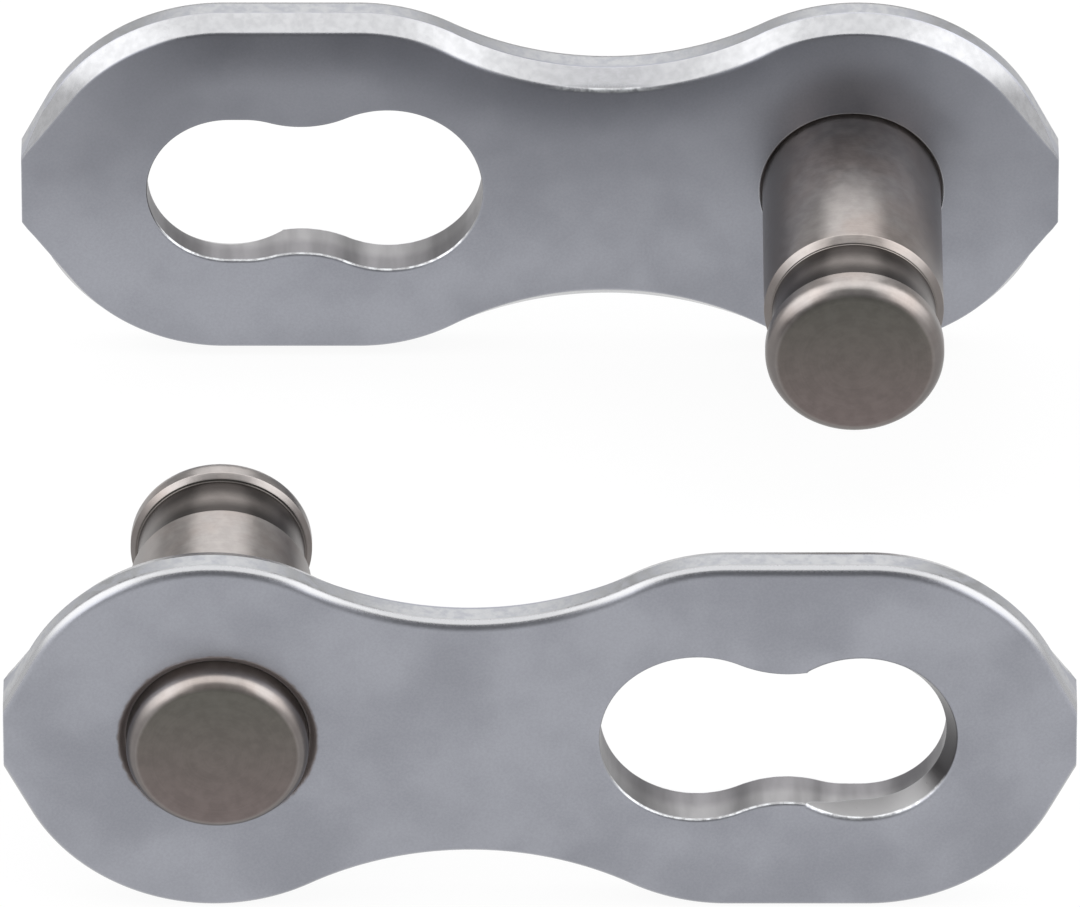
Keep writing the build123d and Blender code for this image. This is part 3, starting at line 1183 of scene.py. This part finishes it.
def lay_floor(settings):
    """Wide pale floor under the plates. It keeps the soft shadows, and shows near white."""
    mesh = bpy.data.meshes.new("floor")
    corners = [(FLOOR_REACH * x, FLOOR_REACH * y, 0) for x, y in ((-1, -1), (1, -1), (1, 1), (-1, 1))]
    mesh.from_pydata(corners, [], [(0, 1, 2, 3)])
    made, tree, output = new_material("stage_floor")
    card = add(tree, "ShaderNodeBsdfPrincipled", {"Base Color": settings.floor, "Roughness": 0.8})
    glow = add(tree, "ShaderNodeEmission", {"Color": (1, 1, 1, 1), "Strength": 1.0})
    rays = add(tree, "ShaderNodeLightPath").outputs
    seen = math_node(tree, "MAXIMUM", rays["Is Camera Ray"], rays["Is Glossy Ray"])
    seen = math_node(tree, "MAXIMUM", seen, rays["Is Transmission Ray"])
    mix = add(
        tree, "ShaderNodeMixShader",
        {0: product(tree, seen, settings.floor_glow), 1: card.outputs[0], 2: glow.outputs[0]},
    )
    tree.links.new(mix.outputs[0], output.inputs[0])
    mesh.materials.append(made)
    in_scene("floor", mesh)


def light_room(settings):
    """A light room, duller on the camera's side, with bright panels beside it and lamps above and behind."""
    world = bpy.data.worlds.new("light_room")
    world.use_nodes = True
    tree = world.node_tree
    tree.nodes.clear()
    output = tree.nodes.new("ShaderNodeOutputWorld")
    way = xyz(tree, add(tree, "ShaderNodeTexCoord").outputs["Generated"])
    aside = absolute(tree, way[0])
    panels = product(
        tree, ramp(tree, aside, *PANELS_ASIDE), ramp(tree, way[2], *PANELS_UP),
        falling(tree, way[1], *PANELS_END),
    )
    tone = ramp(tree, way[1], *TO_BACK, settings.room_front, settings.room)
    for mask, brightness in (
        (ramp(tree, way[2], *TO_TOP), settings.room),
        (ramp(tree, aside, *TO_SIDES), settings.room_sides),
        (panels, settings.panels),
    ):
        tone = weighed(tree, tone, (mask, less(tree, brightness, tone)))
    sky = add(tree, "ShaderNodeBackground", {"Color": (1, 1, 1, 1), "Strength": tone})
    tree.links.new(sky.outputs[0], output.inputs[0])
    bpy.context.scene.world = world

    above = Vector((0.0, OVERHEAD_BACK, settings.lamp_height))
    behind = Vector(REAR_PLACE)
    for name, watts, width, height, where in (
        ("overhead_lamp", settings.lamp_power, settings.lamp_size, settings.lamp_size, above),
        ("rear_lamp", settings.rear_power, settings.rear_width, settings.rear_height, behind),
    ):
        lamp = bpy.data.lights.new(name, "AREA")
        lamp.energy = watts
        lamp.shape = "RECTANGLE"
        lamp.size = width
        lamp.size_y = height
        hung = in_scene(name, lamp)
        hung.location = where
        hung.rotation_euler = where.to_track_quat("Z", "Y").to_euler()


def place_camera(settings):
    """Camera in front of the near half, looking down on the pair."""
    data = bpy.data.cameras.new("camera")
    data.sensor_width = 36.0
    data.lens = settings.lens
    data.clip_start = 0.01
    data.clip_end = 20.0
    camera = in_scene("camera", data)
    back = Vector((0.0, -math.cos(settings.elevation), math.sin(settings.elevation)))
    camera.location = Vector((0.0, 0.0, settings.aim_height)) + back * settings.distance
    camera.rotation_euler = (-back).to_track_quat("-Z", "Y").to_euler()
    bpy.context.scene.camera = camera


# ---- Operators ----

class LINK_OT_stamp_plates(bpy.types.Operator):
    """Stamp both plates and give them their satin steel, mottled cut walls and rubbed edges"""

    bl_idname = "link.stamp_plates"
    bl_label = "Stamp Plates"

    def execute(self, context):
        settings = context.scene.link_plates
        material = plate_material(settings)
        for half, side in HALVES:
            plate = stamped_plate(f"{half}_stamped_plate", side, settings, context.scene.link_pins)
            plate.data.materials.append(material)
            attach(plate, f"{half}_half")
            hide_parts(f"{half}_plate")
        return {"FINISHED"}


class LINK_OT_turn_pins(bpy.types.Operator):
    """Turn both pins from their profile and give them their hardened steel"""

    bl_idname = "link.turn_pins"
    bl_label = "Turn Pins"

    def execute(self, context):
        settings = context.scene.link_pins
        material = pin_material(settings)
        tree = turning_tree()
        for half, side in HALVES:
            pin = turned_pin(f"{half}_turned_pin", side, settings, tree, material)
            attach(pin, f"{half}_half")
            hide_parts(f"{half}_pin")
        return {"FINISHED"}


class LINK_OT_set_stage(bpy.types.Operator):
    """Lay the floor, light the room and place the camera"""

    bl_idname = "link.set_stage"
    bl_label = "Set Stage"

    def execute(self, context):
        settings = context.scene.link_stage
        lay_floor(settings)
        light_room(settings)
        place_camera(settings)
        context.scene.view_settings.view_transform = "Standard"
        return {"FINISHED"}


class LINK_PT_sidebar(bpy.types.Panel):
    """Sizes, colours and steps of the chain connecting link"""

    bl_idname = "LINK_PT_sidebar"
    bl_label = "Chain Connecting Link"
    bl_space_type = "VIEW_3D"
    bl_region_type = "UI"
    bl_category = "Chain Link"

    def draw(self, context):
        scene = context.scene
        for settings, operator in (
            (scene.link_plates, LINK_OT_stamp_plates),
            (scene.link_pins, LINK_OT_turn_pins),
            (scene.link_stage, LINK_OT_set_stage),
        ):
            box = self.layout.box()
            for name in settings.__annotations__:
                box.prop(settings, name)
            box.operator(operator.bl_idname)


CLASSES = (
    LinkPlateSettings,
    LinkPinSettings,
    LinkStageSettings,
    LINK_OT_stamp_plates,
    LINK_OT_turn_pins,
    LINK_OT_set_stage,
    LINK_PT_sidebar,
)


def register():
    for item in CLASSES:
        bpy.utils.register_class(item)
    bpy.types.Scene.link_plates = bpy.props.PointerProperty(type=LinkPlateSettings)
    bpy.types.Scene.link_pins = bpy.props.PointerProperty(type=LinkPinSettings)
    bpy.types.Scene.link_stage = bpy.props.PointerProperty(type=LinkStageSettings)


def unregister():
    del bpy.types.Scene.link_stage
    del bpy.types.Scene.link_pins
    del bpy.types.Scene.link_plates
    for item in reversed(CLASSES):
        bpy.utils.unregister_class(item)


def main():
    register()
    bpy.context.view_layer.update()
    bpy.ops.link.stamp_plates()
    bpy.ops.link.turn_pins()
    bpy.ops.link.set_stage()


if __name__ == "__main__":
    main()
